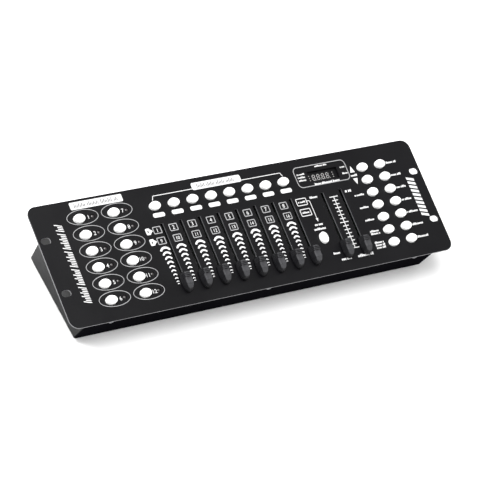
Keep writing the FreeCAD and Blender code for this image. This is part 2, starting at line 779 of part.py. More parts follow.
def make_fader(place):
    """A moulded cap on a flat metal lever, at the bottom of its travel."""
    name = place["name"]
    body = body_named(f"{name}_cap")
    half = "$cap_long / 2"
    edge = "$cap_wide / 2"
    skirt = "$cap_clear + $cap_skirt"
    top = "$cap_clear + $cap_tall"
    side = sketch_on(body, f"{name}_side", "YZ_Plane")
    polygon(side, [
        (f"-{half}", "$cap_clear"), (half, "$cap_clear"), (half, skirt),
        (f"{half} - $cap_heel_run", top), (f"{half} - $cap_ridge_run", top),
        (f"{half} - $cap_step_run", f"{top} - $cap_step_drop"),
        (f"-{half} + $cap_nose_run", f"{top} - $cap_nose_drop"),
        (f"-{half} + $cap_tip_run", f"{top} - $cap_tip_drop"), (f"-{half}", skirt)])
    pad(body, f"{name}_form", side, "$cap_wide", both_ways=True)
    bow = sketch_on(body, f"{name}_bow")
    for hand in (-1, 1):
        polygon(bow, [(f"{hand} * {edge}", f"-{half} + $cap_nose_run"),
                      (f"{hand} * $cap_wide", f"-{half} + $cap_nose_run"),
                      (f"{hand} * $cap_wide", "-$cap_long"),
                      (f"{hand} * $cap_nose_wide / 2", "-$cap_long"),
                      (f"{hand} * $cap_nose_wide / 2", f"-{half}")])
    pocket(body, f"{name}_nose", bow, "4 * $cap_tall", both_ways=True)
    plan = sketch_on(body, f"{name}_taper", "XZ_Plane")
    polygon(plan, [(edge, skirt), (f"{edge} + $cap_clear", skirt),
                   (f"{edge} + $cap_clear", f"{top} + $cap_clear"),
                   (f"{edge} - $cap_draft", f"{top} + $cap_clear")])
    left = pocket(body, f"{name}_right_flank", plan, "2 * $cap_long", both_ways=True)
    mirror = body.newObject("PartDesign::Mirrored", f"{name}_left_flank")
    mirror.Originals = [left]
    mirror.MirrorPlane = (plan, ["V_Axis"])
    body.Tip = mirror
    on_panel(body, place["x"], place["y"])
    reach = "$board_depth - $track_tall + $lever_depth + $cap_clear"
    lever = block(f"{name}_lever", "$lever_wide", "$lever_long", reach)
    on_panel(lever, f"{place['x']} - $lever_wide / 2", f"{place['y']} - $lever_long / 2",
             f"$cap_clear - ({reach})")
    return group(f"{name}_assembly", [body, lever])


# ---------------------------------------------------------------- rear connectors

def rear_rod(name, radius, across, low, high, rise="$rear_row"):
    """A round bar square to the rear wall, between two distances out of its outer face."""
    return on_rear_wall(disc(name, radius, f"{high} - ({low})"), across, rise, low)


def rear_block(name, across, length, width, low, high):
    """A block about a point of the rear wall, between two distances out of it."""
    made = block(name, length, width, f"{high} - ({low})")
    return on_rear_wall(made, f"{across} - ({length}) / 2", f"$rear_row + ({width}) / 2", low)


def make_xlr_socket():
    """A three-contact socket: flange, shell, and a core with contact holes in a ring gap."""
    at = "$xlr_across"
    outer = fuse("xlr_outer", [
        rear_block("xlr_flange", at, "$xlr_flange_wide", "$xlr_flange_tall", "0",
                   "$xlr_flange_sheet"),
        rear_rod("xlr_shell", "$xlr_shell_radius", at, "-$xlr_depth", "$xlr_flange_sheet")])
    ring = rear_rod("xlr_ring", "$xlr_ring_radius", at, "-$xlr_ring_depth",
                    "2 * $xlr_flange_sheet")
    core = rear_rod("xlr_core", "$xlr_core_radius", at, "-$xlr_ring_depth - $xlr_core_foot",
                    "$xlr_flange_sheet - $xlr_core_sink")
    contacts = []
    for i, (side, rise) in enumerate((("-$contact_side", "$contact_rise"),
                                      ("$contact_side", "$contact_rise"),
                                      ("0", "-$contact_drop")), 1):
        contacts.append(rear_rod(f"xlr_contact_{i}", "$contact_radius", f"{at} + {side}",
                                 "-$contact_depth", "$xlr_flange_sheet",
                                 f"$rear_row + ({rise})"))
    filled = fuse("xlr_filled", [cut("xlr_hollow", outer, ring), core])
    return cut("xlr_socket_form", filled, fuse("xlr_contacts", contacts))


def make_midi_socket():
    """A five-contact round socket, held from inside the wall."""
    at = "$midi_across"
    side = "2 * ($midi_radius + $midi_border)"
    back = "-$base_sheet - $fit_gap"
    solid = fuse("midi_solid", [
        rear_rod("midi_barrel", "$midi_radius", at, "-$midi_barrel_depth", "$midi_proud"),
        rear_block("midi_case", at, side, side, f"{back} - $midi_case_depth", back)])
    holes = [
        rear_rod(f"midi_contact_{turn}", "$midi_hole_radius",
                 f"{at} + $midi_ring_radius * cos({turn})", "-$midi_hole_depth",
                 "2 * $midi_proud",
                 f"$rear_row - $midi_ring_drop + $midi_ring_radius * sin({turn})")
        for turn in range(0, 225, 45)]
    return cut("midi_socket_form", solid, fuse("midi_contacts", holes))


def make_dc_inlet():
    """A barrel-type power jack with its centre pin."""
    at = "$power_across"
    solid = fuse("jack_solid", [
        rear_rod("jack_nose", "$jack_radius", at, "-$jack_depth", "$jack_proud"),
        rear_rod("jack_rim", "$jack_radius + $jack_rim", at, "0", "$jack_rim")])
    bore = rear_rod("jack_bore", "$jack_bore", at, "-$jack_bore_depth", "2 * $jack_rim")
    pin = rear_rod("jack_pin", "$jack_pin", at, "-$jack_bore_depth - $jack_pin_foot",
                   "-$jack_pin_sink")
    return fuse("jack_form", [cut("jack_hollow", solid, bore), pin])


def make_switch_frame():
    """The rocker switch's bezel and housing, open to the rear."""
    at = "$rocker_across"
    inset = "2 * ($switch_gap + $switch_wall)"
    bezel = rear_block("switch_bezel", at, "$rocker_wide + 2 * $bezel_border",
                       "$rocker_tall + 2 * $bezel_border", "0", "$bezel_sheet")
    case = rear_block("switch_case", at, "$rocker_wide - 2 * $switch_gap",
                      "$rocker_tall - 2 * $switch_gap", "-$switch_depth", "0")
    hollow = rear_block("switch_hollow", at, f"$rocker_wide - {inset}",
                        f"$rocker_tall - {inset}", "-$hollow_depth", "2 * $bezel_sheet")
    return cut("switch_frame_form", fuse("switch_solid", [bezel, case]), hollow)


def make_power_rocker():
    """A see-saw key on a level cross pin, tipped half its swing to the off side."""
    inset = "2 * ($switch_gap + $switch_wall)"
    length = f"($rocker_tall - {inset} - 2 * $rocker_end_gap)"
    width = f"($rocker_wide - {inset} - 2 * $rocker_gap)"
    key = block("rocker_key", width, length, "$rocker_sheet")
    heel = disc("rocker_heel", "$rocker_heel", width)
    middle = placement("$rocker_across", f"{REAR_WALL_Y} + $rocker_hub_out", "$rear_row")
    tipped = placement("0", "0", "0", "1; 0; 0", "-90 - $rocker_angle / 2")
    bind(key, Placement=f"{middle} * {tipped} * "
         + placement(f"-{width} / 2", f"-{length} / 2", "0"))
    bind(heel, Placement=f"{middle} * "
         + placement(f"-{width} / 2", "0", "0", "0; 1; 0", "90"))
    return fuse("rocker_form", [key, heel])


finish(make_front_panel(), "front_panel")
finish(make_bottom_chassis(), "bottom_chassis")
finish(make_rubber_feet(), "rubber_feet")
finish(make_case_screws(), "case_screws")
finish(make_control_board(), "control_board")
finish(make_board_spacers(), "board_spacers")
finish(make_fader_tracks(), "fader_tracks")
finish(make_tact_switches(), "tact_switches")
finish(make_indicator_lamps(), "indicator_lamps")
finish(make_display_module(), "display_module")
finish(make_xlr_socket(), "xlr_socket")
finish(make_midi_socket(), "midi_socket")
finish(make_dc_inlet(), "dc_inlet")
finish(make_switch_frame(), "switch_frame")
finish(make_power_rocker(), "power_rocker")
for place in buttons:
    turned = "90" if place is page_button else "0"
    finish(make_button(place, turned), place["name"])
for place in faders:
    finish(make_fader(place), place["name"])

doc.recompute()
failed = [item.Name for item in doc.Objects if {"Invalid", "Error"} & set(item.State)]
if failed:
    raise RuntimeError(f"these objects failed: {failed}")
for node in nodes:
    if node.Shape.isNull() or not node.Shape.isValid():
        raise RuntimeError(f"{node.Label} has no valid shape")

os.makedirs("parts", exist_ok=True)
for node in nodes:
    node.Shape.exportStep(f"parts/{node.Label}.step")
print(len(nodes), "sub-parts written")
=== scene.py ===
import math

import bmesh
import bpy
from mathutils import Matrix, Vector


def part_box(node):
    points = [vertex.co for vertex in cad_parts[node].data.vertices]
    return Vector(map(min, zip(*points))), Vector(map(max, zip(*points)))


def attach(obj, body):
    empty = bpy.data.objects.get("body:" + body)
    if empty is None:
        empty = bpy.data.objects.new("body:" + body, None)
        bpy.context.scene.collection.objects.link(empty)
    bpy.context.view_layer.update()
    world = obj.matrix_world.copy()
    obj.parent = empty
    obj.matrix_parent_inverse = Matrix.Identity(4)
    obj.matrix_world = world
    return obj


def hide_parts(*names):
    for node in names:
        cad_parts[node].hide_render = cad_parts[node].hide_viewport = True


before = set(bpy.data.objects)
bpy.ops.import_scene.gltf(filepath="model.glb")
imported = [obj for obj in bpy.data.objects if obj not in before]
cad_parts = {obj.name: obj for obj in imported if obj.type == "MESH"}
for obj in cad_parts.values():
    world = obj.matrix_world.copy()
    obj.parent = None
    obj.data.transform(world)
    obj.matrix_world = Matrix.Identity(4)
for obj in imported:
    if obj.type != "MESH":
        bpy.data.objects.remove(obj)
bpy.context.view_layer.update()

# ------------------------------------------------------------------ the panel's frame
# Controls and print are laid out in millimetres in the panel's own frame: x to the right,
# y up the slope, z out of the panel, from the centre of its top face.
MM = 0.001
TILT = math.radians(12)
HALF_DEPTH = 66.25 * MM
low, high = (Vector(corner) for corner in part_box("front_panel"))
CENTRE = Vector((0, low.y + HALF_DEPTH * math.cos(TILT), high.z - HALF_DEPTH * math.sin(TILT)))
PANEL = Matrix.Translation(CENTRE) @ Matrix.Rotation(TILT, 4, "X") @ Matrix.Scale(MM, 4)
PANEL_INVERSE = PANEL.inverted()
SHEET = 1.5
INK = 0.06


def panel_box(node):
    """The lowest and highest corners of a CAD node, in the panel's frame."""
    spots = [PANEL_INVERSE @ vertex.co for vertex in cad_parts[node].data.vertices]
    return (Vector(min(spot[i] for spot in spots) for i in range(3)),
            Vector(max(spot[i] for spot in spots) for i in range(3)))


def panel_middle(node):
    node_low, node_high = panel_box(node)
    return (node_low + node_high) / 2


# ------------------------------------------------------------------ materials

def material(name, colour, roughness, metallic=0.0, coat=0.0):
    """Start a node material and return it with its tree, its shader and its coordinates."""
    made = bpy.data.materials.new(name)
    made.use_nodes = True
    tree = made.node_tree
    shader = tree.nodes["Principled BSDF"]
    shader.inputs["Base Color"].default_value = (*colour, 1)
    shader.inputs["Roughness"].default_value = roughness
    shader.inputs["Metallic"].default_value = metallic
    shader.inputs["Coat Weight"].default_value = coat
    coordinates = tree.nodes.new("ShaderNodeTexCoord")
    return made, tree, shader, coordinates.outputs["Object"]


def noise(tree, coordinates, scale, detail=4.0, stretch=None):
    """A noise texture, in cycles per metre."""
    if stretch:
        mapping = tree.nodes.new("ShaderNodeMapping")
        mapping.inputs["Scale"].default_value = stretch
        tree.links.new(coordinates, mapping.inputs["Vector"])
        coordinates = mapping.outputs["Vector"]
    texture = tree.nodes.new("ShaderNodeTexNoise")
    texture.inputs["Scale"].default_value = scale
    texture.inputs["Detail"].default_value = detail
    tree.links.new(coordinates, texture.inputs["Vector"])
    return texture.outputs["Fac"]


def ramp(tree, value, stops):
    """Turn a value into a colour; stops are pairs of a place and a grey or a colour."""
    node = tree.nodes.new("ShaderNodeValToRGB")
    elements = node.color_ramp.elements
    while len(elements) < len(stops):
        elements.new(0.5)
    for element, (place, colour) in zip(elements, stops):
        element.position = place
        element.color = (*colour, 1) if isinstance(colour, tuple) else (colour,) * 3 + (1,)
    tree.links.new(value, node.inputs["Fac"])
    return node.outputs["Color"]


def bump(tree, shader, height, strength, distance):
    node = tree.nodes.new("ShaderNodeBump")
    node.inputs["Strength"].default_value = strength
    node.inputs["Distance"].default_value = distance
    tree.links.new(height, node.inputs["Height"])
    tree.links.new(node.outputs["Normal"], shader.inputs["Normal"])


def worn(name, colour, roughness, colour_range=0.12, roughness_range=0.08, grain=900,
         grain_depth=0.00004, grain_strength=0.25, patch=18, metallic=0.0, coat=0.0,
         stretch=None, specular=0.5):
    """A material with patchy colour, patchy gloss and a fine grain."""
    made, tree, shader, coordinates = material(name, colour, roughness, metallic, coat)
    shader.inputs["Specular IOR Level"].default_value = specular
    patches = noise(tree, coordinates, patch, 5.0)
    dark = tuple(part * (1 - colour_range) for part in colour)
    light = tuple(min(1.0, part * (1 + colour_range)) for part in colour)
    tree.links.new(ramp(tree, patches, [(0.3, dark), (0.7, light)]),
                   shader.inputs["Base Color"])
    gloss = noise(tree, coordinates, patch * 3.1, 6.0)
    tree.links.new(ramp(tree, gloss, [(0.3, max(0.02, roughness - roughness_range)),
                                      (0.7, roughness + roughness_range)]),
                   shader.inputs["Roughness"])
    fine = noise(tree, coordinates, grain, 3.0, stretch)
    bump(tree, shader, fine, grain_strength, grain_depth)
    return made


POWDER = worn("satin_black_powder_coat", (0.0026, 0.0025, 0.0032), 0.36, 0.15, 0.05, 1500,
              patch=9, specular=0.2)
# The base pan's black paint comes as two copies. The walls have no specular, a painted shade that
# keeps the front wall dark. The end walls are glossier, a painted sheen that brightens them.
SHADED_WALL_POWDER = worn("black_powder_coat_base_painted_shade", (0.0034, 0.0033, 0.0042), 0.6, 0.1, 0.03, 1500,
                   patch=9, specular=0.0)
LIT_END_POWDER = worn("black_powder_coat_end_painted_sheen", (0.003, 0.003, 0.0036), 0.36, 0.12, 0.05, 1500,
                  patch=9, specular=0.12)
# A paler grey for the panel's edges: a painted highlight standing in for light caught on the cut
# edges.
EDGE_HIGHLIGHT = worn("painted_edge_highlight", (0.09, 0.09, 0.095), 0.35, 0.25, 0.08, 1500, patch=60)
INK_WHITE = worn("white_screen_ink", (0.6, 0.6, 0.6), 0.5, 0.03, grain=2500, patch=120)
INK_GREY = worn("grey_screen_ink", (0.3, 0.3, 0.305), 0.5, 0.05, grain=2500, patch=120)
INK_DARK = worn("dark_screen_ink", (0.045, 0.045, 0.047), 0.5, 0.1, grain=2500, patch=120)
WHITE_CAP = worn("white_moulded_cap", (0.88, 0.88, 0.875), 0.38, 0.02, grain=1800,
                 grain_depth=0.00002, patch=60)
WHITE_CAP.node_tree.nodes["Principled BSDF"].inputs["Subsurface Weight"].default_value = 0.15
WHITE_CAP.node_tree.nodes["Principled BSDF"].inputs["Subsurface Radius"].default_value = (
    0.002, 0.002, 0.002)
CAP_BLACK = worn("black_moulded_cap", (0.0055, 0.0055, 0.0065), 0.42, grain=2200, patch=50,
                 specular=0.22)
# A paler grey for the fader caps' upward faces: a painted highlight where light falls on their
# tops.
TOP_HIGHLIGHT_GREY = worn("painted_highlight_cap_top", (0.034, 0.034, 0.037), 0.55, grain=2200, patch=50,
                specular=0.3)
STEEL = worn("plated_steel", (0.55, 0.55, 0.56), 0.3, metallic=1.0, grain=700, patch=40,
             stretch=(1, 8, 1))
BLACK_ZINC = worn("black_zinc_screw", (0.16, 0.16, 0.17), 0.35, metallic=1.0, grain=900,
                  patch=300)
RUBBER = worn("black_foot_rubber", (0.02, 0.02, 0.02), 0.8, grain=1200, patch=60,
              grain_strength=0.5)
BOARD_GREEN = worn("dark_solder_mask", (0.003, 0.009, 0.005), 0.35, 0.25, grain=400, patch=150,
                   coat=0.2)
SOCKET_BLACK = worn("black_nylon", (0.02, 0.02, 0.021), 0.48, grain=1600, patch=70)
LAMP_SMOKE = worn("unlit_lamp_resin", (0.012, 0.009, 0.009), 0.12, 0.2, grain=300, patch=250,
                  coat=1.0)
FACE_BLACK = worn("display_face", (0.003, 0.003, 0.0035), 0.4, grain=1500, patch=60,
                  specular=0.15)
SEGMENT_GREY = worn("unlit_segment", (0.34, 0.335, 0.33), 0.5, 0.06, grain=1500, patch=300)
ROCKER_GLOSS = worn("gloss_black_rocker", (0.012, 0.012, 0.012), 0.16, grain=600, patch=80,
                    coat=0.5)


# ------------------------------------------------------------------ mesh helpers

def piece(name, mesh, materials, body="desk", replaced=(), smooth_angle=35,
          bevel=None):
    """Make an object of a bmesh in metres, put it on its body and hide the CAD parts it replaces.
    """
    data = bpy.data.meshes.new(name)
    bmesh.ops.recalc_face_normals(mesh, faces=mesh.faces)
    mesh.to_mesh(data)
    mesh.free()
    made = bpy.data.objects.new(name, data)
    bpy.context.scene.collection.objects.link(made)
    for item in materials:
        data.materials.append(item)
    data.polygons.foreach_set("use_smooth", [True] * len(data.polygons))
    data.set_sharp_from_angle(angle=math.radians(smooth_angle))
    if bevel:
        modifier = made.modifiers.new("edges", "BEVEL")
        modifier.width = bevel * MM
        modifier.segments = 2
        modifier.limit_method = "ANGLE"
        modifier.angle_limit = math.radians(40)
        modifier.harden_normals = False
    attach(made, body)
    if replaced:
        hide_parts(*replaced)
    return made


def loft(mesh, rings, close_low=True, close_high=True, index=0):
    """Skin rings of equal length into a closed body; each ring is a list of points."""
    made = [[mesh.verts.new(spot) for spot in ring] for ring in rings]
    count = len(made[0])
    for lower, upper in zip(made, made[1:]):
        for i in range(count):
            j = (i + 1) % count
            face = mesh.faces.new((lower[i], lower[j], upper[j], upper[i]))
            face.material_index = index
    if close_low:
        mesh.faces.new(list(reversed(made[0]))).material_index = index
    if close_high:
        mesh.faces.new(made[-1]).material_index = index
    return made


def oval_ring(half_x, half_y, z, count=48, power=2.0, middle=(0, 0)):
    """An ellipse, or with a higher power a rounder-cornered rectangle."""
    ring = []
    for i in range(count):
        turn = 2 * math.pi * i / count
        across = math.copysign(abs(math.cos(turn)) ** (2 / power), math.cos(turn))
        along = math.copysign(abs(math.sin(turn)) ** (2 / power), math.sin(turn))
        ring.append(Vector((middle[0] + half_x * across, middle[1] + half_y * along, z)))
    return ring


def lathe(mesh, profile, middle=(0, 0), count=32, index=0):
    """Turn a profile of radius and height about an upright axis, from its foot to its top."""
    loft(mesh, [oval_ring(radius, radius, z, count, middle=middle) for radius, z in profile],
         index=index)


def slab(mesh, left, near, right, far, bottom, top, index=0, corner=0.0):
    """A block, with its upright edges rounded when a corner radius is given."""
    if corner:
        outline = rounded_outline(left, near, right, far, corner)
    else:
        outline = [(left, near), (right, near), (right, far), (left, far)]
    loft(mesh, [[Vector((x, y, z)) for x, y in outline] for z in (bottom, top)], index=index)


def rounded_outline(left, near, right, far, radius, steps=6):
    """The corners of a rectangle with round corners, anticlockwise."""
    points = []
    for x, y, start in ((right - radius, near + radius, -90), (right - radius, far - radius, 0),
                        (left + radius, far - radius, 90), (left + radius, near + radius, 180)):
        for i in range(steps + 1):
            turn = math.radians(start + 90 * i / steps)
            points.append((x + radius * math.cos(turn), y + radius * math.sin(turn)))
    return points


def island_boxes(node, frame_of=Matrix.Identity(4)):
    """The box of each separate solid of a CAD node, in the frame that a matrix leads to.

    The boxes come in order of place, so that each run builds the same meshes."""
    mesh = bmesh.new()
    mesh.from_mesh(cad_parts[node].data)
    bmesh.ops.remove_doubles(mesh, verts=mesh.verts, dist=0.5e-6)
    left = set(mesh.verts)
    boxes = []
    while left:
        queue = [left.pop()]
        spots = []
        while queue:
            vertex = queue.pop()
            spots.append(frame_of @ vertex.co)
            for edge in vertex.link_edges:
                other = edge.other_vert(vertex)
                if other in left:
                    left.discard(other)
                    queue.append(other)
        boxes.append((Vector(min(s[i] for s in spots) for i in range(3)),
                      Vector(max(s[i] for s in spots) for i in range(3))))
    mesh.free()
    return sorted(boxes, key=lambda corners: tuple(corners[0]))


# ------------------------------------------------------------------ sheet-metal case

def softened(node, name, paint, width):
    """Copy a CAD sheet part with its hard edges broken, as paint rounds them."""
    mesh = bmesh.new()
    mesh.from_mesh(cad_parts[node].data)
    bmesh.ops.remove_doubles(mesh, verts=mesh.verts, dist=0.5e-6)
    bmesh.ops.dissolve_limit(mesh, angle_limit=math.radians(0.5), verts=mesh.verts,
                             edges=mesh.edges)
    return piece(name, mesh, [paint], replaced=(node,), smooth_angle=25,
                 bevel=width)


def bare_edges(plate):
    """Paint the plate's rim, rack slots and lever slots a paler grey: a painted highlight where
    these edges catch the light.
    """
    plate.data.materials.append(EDGE_HIGHLIGHT)
    up = PANEL.to_3x3().col[2].normalized()
    lever_lines = [panel_middle(node).x for node in FADERS]
    for face in plate.data.polygons:
        spot = PANEL_INVERSE @ face.center
        at_rim = abs(spot.x) > 224 or abs(spot.y) > 65
        at_slot = spot.y < 25 and any(abs(spot.x - line) < 2.3 for line in lever_lines)
        if abs(face.normal.dot(up)) < 0.3 and spot.z > -SHEET - 0.1 and (at_rim or at_slot):
            face.material_index = 1


def end_walls(pan):
    """Give the pan's two end walls a glossier copy of its paint than its other walls: a painted
    sheen that lights the ends more.
    """
    pan.data.materials.append(LIT_END_POWDER)
    for face in pan.data.polygons:
        if abs(face.normal.x) > 0.9 and abs(face.center.x) > 0.2:
            face.material_index = 1


BUTTONS = [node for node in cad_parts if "_button" in node]
FADERS = [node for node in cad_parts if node.endswith("_fader")
          or node.startswith("channel_fader")]
bare_edges(softened("front_panel", "panel_plate", POWDER, 0.22))
end_walls(softened("bottom_chassis", "base_pan", SHADED_WALL_POWDER, 0.15))


# ------------------------------------------------------------------ push buttons

def make_button(node):
    """A white oval cap with a slightly dished top, a lip under the panel and a stem."""
    node_low, node_high = panel_box(node)
    middle = (node_low + node_high) / 2
    lip_long = (node_high.x - node_low.x) / 2
    lip_wide = (node_high.y - node_low.y) / 2
    lip = 1.1
    long_way, wide_way = lip_long - lip, lip_wide - lip
    top = node_high.z
    under = -SHEET - 0.35
    mesh = bmesh.new()
    rings = [oval_ring(1.8, 1.8, node_low.z), oval_ring(1.8, 1.8, under - 1.0),
             oval_ring(lip_long - 0.2, lip_wide - 0.2, under - 1.0),
             oval_ring(lip_long, lip_wide, under - 0.8), oval_ring(lip_long, lip_wide, under)]
    for inset, drop in ((0, None), (0, 1.15), (0.05, 0.75), (0.18, 0.42), (0.4, 0.19),
                        (0.75, 0.05), (1.15, 0.0), (2.2, 0.04), (3.2, 0.09), (4.2, 0.12)):
        height = under if drop is None else top - drop
        rings.append(oval_ring(long_way - inset, wide_way - inset, height))
    loft(mesh, rings)
    mesh.transform(PANEL @ Matrix.Translation((middle.x, middle.y, 0)))
    return piece(f"{node}_cap", mesh, [WHITE_CAP], body=node, replaced=(node,),
                 smooth_angle=50)


# ------------------------------------------------------------------ fader caps

# Stations along a fader cap from its nose to its heel: the place along the cap, half the
# width of the skirt and of the finger pad, the pad's height and how far it is dished.
CAP_FOOT = 1.0
CAP_SKIRT = 3.3
CAP_NOSE = [(-10.45, 1.4, 0.7, 3.3, 0), (-10.2, 2.0, 0.9, 4.1, 0), (-9.6, 2.6, 1.2, 5.8, 0),
            (-8.7, 3.3, 1.7, 7.4, 0), (-8.0, 3.75, 2.1, 8.1, 0.05), (-6.4, 4.5, 2.75, 8.8, 0.1),
            (-4.3, 5.0, 3.25, 9.65, 0.1), (-3.95, 5.05, 3.3, 10.1, 0.0),
            (-3.6, 5.1, 3.3, 9.8, 0.1), (-1.2, 5.15, 3.4, 9.6, 0.35),
            (1.6, 5.15, 3.4, 9.9, 0.35), (2.5, 5.12, 3.35, 10.1, 0.25)]
CAP_RIDGES = [(2.8 + 1.7 * ridge + step, 5.1 - 0.15 * ridge, 3.3 - 0.3 * ridge, height, 0.05)
              for ridge in range(3) for step, height in ((0, 10.9), (0.2, 11.55), (0.8, 11.55),
                                                         (1.0, 10.9), (1.2, 10.3))]
CAP_HEEL = [(8.0, 4.55, 2.4, 10.4, 0), (8.8, 4.2, 2.0, 8.9, 0), (9.6, 3.7, 1.7, 6.4, 0),
            (10.15, 3.1, 1.4, 4.5, 0), (10.45, 2.5, 1.1, 3.3, 0)]


def cap_section(y, skirt, pad, height, dish):
    """One closed section across a fader cap, from its left foot over the top to its right."""
    half = [(-skirt + 0.2, CAP_FOOT), (-skirt, CAP_FOOT + 0.3), (-skirt, CAP_SKIRT - 0.4),
            (-skirt + 0.15, CAP_SKIRT), (-pad - 0.55, max(height - 1.3, CAP_SKIRT - 0.1)),
            (-pad - 0.12, max(height - 0.3, CAP_SKIRT - 0.05)), (-pad + 0.2, height),
            (-pad * 0.5, height - dish * 0.7), (0, height - dish)]
    return [Vector((x, y, z)) for x, z in half + [(-x, z) for x, z in half[-2::-1]]]


def make_fader(node):
    """A boat-shaped cap with a skirt and a ridged heel, on a flat steel lever."""
    node_low, node_high = panel_box(node)
    middle = (node_low + node_high) / 2
    mesh = bmesh.new()
    stations = CAP_NOSE + CAP_RIDGES + CAP_HEEL
    loft(mesh, [cap_section(*station) for station in reversed(stations)])
    bmesh.ops.recalc_face_normals(mesh, faces=mesh.faces)
    # Faces high on the cap that look up take the paler grey: a painted highlight on the lit top.
    for face in mesh.faces:
        spots = [vertex.co for vertex in face.verts]
        if face.normal.z > 0.3 and min(spot.z for spot in spots) > 6.0:
            face.material_index = 1
    slab(mesh, -0.7, -2.5, 0.7, 2.5, node_low.z, CAP_FOOT + 0.4, index=2)
    mesh.transform(PANEL @ Matrix.Translation((middle.x, middle.y, 0)))
    return piece(f"{node}_knob", mesh, [CAP_BLACK, TOP_HIGHLIGHT_GREY, STEEL], body=node,
                 replaced=(node,), smooth_angle=28)


for button_node in BUTTONS:
    make_button(button_node)
for fader_node in FADERS:
    make_fader(fader_node)


# ------------------------------------------------------------------ printed legends

class Print:
    """Thin closed patches of one ink, laid on the panel's face or on another print."""

    def __init__(self, name, ink, level=0.0):
        self.name = name
        self.ink = ink
        self.mesh = bmesh.new()
        self.bottom = level - 0.02
        self.top = level + INK

    def fill(self, outline):
        """A filled outline, its points anticlockwise."""
        loft(self.mesh, [[Vector((x, y, z)) for x, y in outline]
                         for z in (self.bottom, self.top)])

    def ring(self, outer, inner):
        """The band between two outlines with as many points as each other."""
        walls = [[self.mesh.verts.new((x, y, z)) for x, y in outline]
                 for outline in (outer, inner) for z in (self.bottom, self.top)]
        outer_low, outer_high, inner_low, inner_high = walls
        count = len(outer)
        for first, second in ((outer_low, outer_high), (outer_high, inner_high),
                              (inner_high, inner_low), (inner_low, outer_low)):
            for i in range(count):
                j = (i + 1) % count
                self.mesh.faces.new((first[i], first[j], second[j], second[i]))

    def line(self, points, width):
        """A band along an open path."""
        left, right = [], []
        for i, spot in enumerate(points):
            before = Vector(points[max(i - 1, 0)])
            after = Vector(points[min(i + 1, len(points) - 1)])
            way = (after - before).normalized()
            side = Vector((-way.y, way.x)) * width / 2
            left.append(Vector(spot) + side)
            right.append(Vector(spot) - side)
        self.fill([tuple(point) for point in right + left[::-1]])

    def oval(self, x, y, half_x, half_y, width):
        turns = [2 * math.pi * i / 64 for i in range(64)]
        outer, inner = ([(x + (half_x + grow) * math.cos(turn),
                          y + (half_y + grow) * math.sin(turn)) for turn in turns]
                        for grow in (width / 2, -width / 2))
        self.ring(outer, inner)

    def frame(self, left, near, right, far, radius, width):
        self.ring(rounded_outline(left, near, right, far, radius),
                  rounded_outline(left + width, near + width, right - width, far - width,
                                  max(0.1, radius - width)))

    def box(self, left, near, right, far, radius=0.15):
        self.fill(rounded_outline(left, near, right, far, radius, 3))

    def words(self, x, y, length, tall, seed=0, lean=0.12):
        """A stand-in for a caption: a run of short strokes, centred on x, y."""
        place = -length / 2
        i = seed
        while place < length / 2:
            wide = tall * (0.42 + 0.3 * ((i * 37) % 11) / 11)
            high_part = tall if (i * 53) % 7 in (0, 3) else tall * 0.72
            if place + wide > length / 2:
                break
            corners = [(place, 0), (place + wide, 0), (place + wide + lean * high_part, high_part),
                       (place + lean * high_part, high_part)]
            self.fill([(x + u, y + v - tall / 2) for u, v in corners])
            place += wide + tall * (0.5 if (i * 29) % 9 == 4 else 0.16)
            i += 1

    def hatch(self, x, y, length, tall, stroke, pitch, lean=0.0, turned=False, group=0):
        """A row of slanted strokes of two heights, with a gap after every group."""
        for i in range(int(length / pitch)):
            if group and i % group == group - 1:
                continue
            left = -length / 2 + i * pitch
            high = tall if not group or i % 5 in (0, 3) else tall * 0.66
            corners = [(left, 0), (left + stroke, 0), (left + stroke + lean * high, high),
                       (left + lean * high, high)]
            if turned:
                self.fill([(x - (v - tall / 2), y + u) for u, v in corners])
            else:
                self.fill([(x + u, y + v - tall / 2) for u, v in corners])

    def number(self, x, y, value, tall):
        """A numeral, centred on x, y."""
        curve = bpy.data.curves.new("numeral", "FONT")
        curve.body = str(value)
        curve.size = tall * 1.37
        curve.align_x = "CENTER"
        curve.extrude = (self.top - self.bottom) / 2
        curve.resolution_u = 4
        holder = bpy.data.objects.new("numeral", curve)
        data = bpy.data.meshes.new_from_object(holder)
        data.transform(Matrix.Translation((x, y - tall / 2, (self.top + self.bottom) / 2)))
        self.mesh.from_mesh(data)
        bpy.data.objects.remove(holder)
        bpy.data.curves.remove(curve)
        bpy.data.meshes.remove(data)

    def finish(self):
        self.mesh.transform(PANEL)
        return piece(self.name, self.mesh, [self.ink], smooth_angle=20)


SCAN_NODES = [f"scan_button_{i}" for i in range(1, 13)]
SCENE_NODES = [f"scene_button_{i}" for i in range(1, 9)]
CHANNEL_NODES = [f"channel_fader_{i}" for i in range(1, 9)]
MODE_NODES = [f"mode_button_{i}" for i in range(1, 15)]
scan_spots = [panel_middle(node) for node in SCAN_NODES]
scene_spots = [panel_middle(node) for node in SCENE_NODES]
channel_spots = [panel_middle(node) for node in CHANNEL_NODES]
mode_spots = [panel_middle(node) for node in MODE_NODES]
speed_spot = panel_middle("speed_fader")
fade_spot = panel_middle("fade_fader")


def print_scan_group(ink, grey, dark):
    for i, spot in enumerate(scan_spots, 1):
        x, y = spot.x + 5.1, spot.y + 1.6 - 0.1 * ((i - 1) % 6)
        grey.oval(x, y, 18.2, 8.0, 0.6)
        ink.number(x + (6.4 if i < 10 else 6.0), y - 0.9, i, 4.4)
    ink.box(-192, 55.5, -130, 63.5, 1.2)
    dark.hatch(-160.6, 59.5, 54, 4.4, 0.85, 1.75, 0.15, group=9)


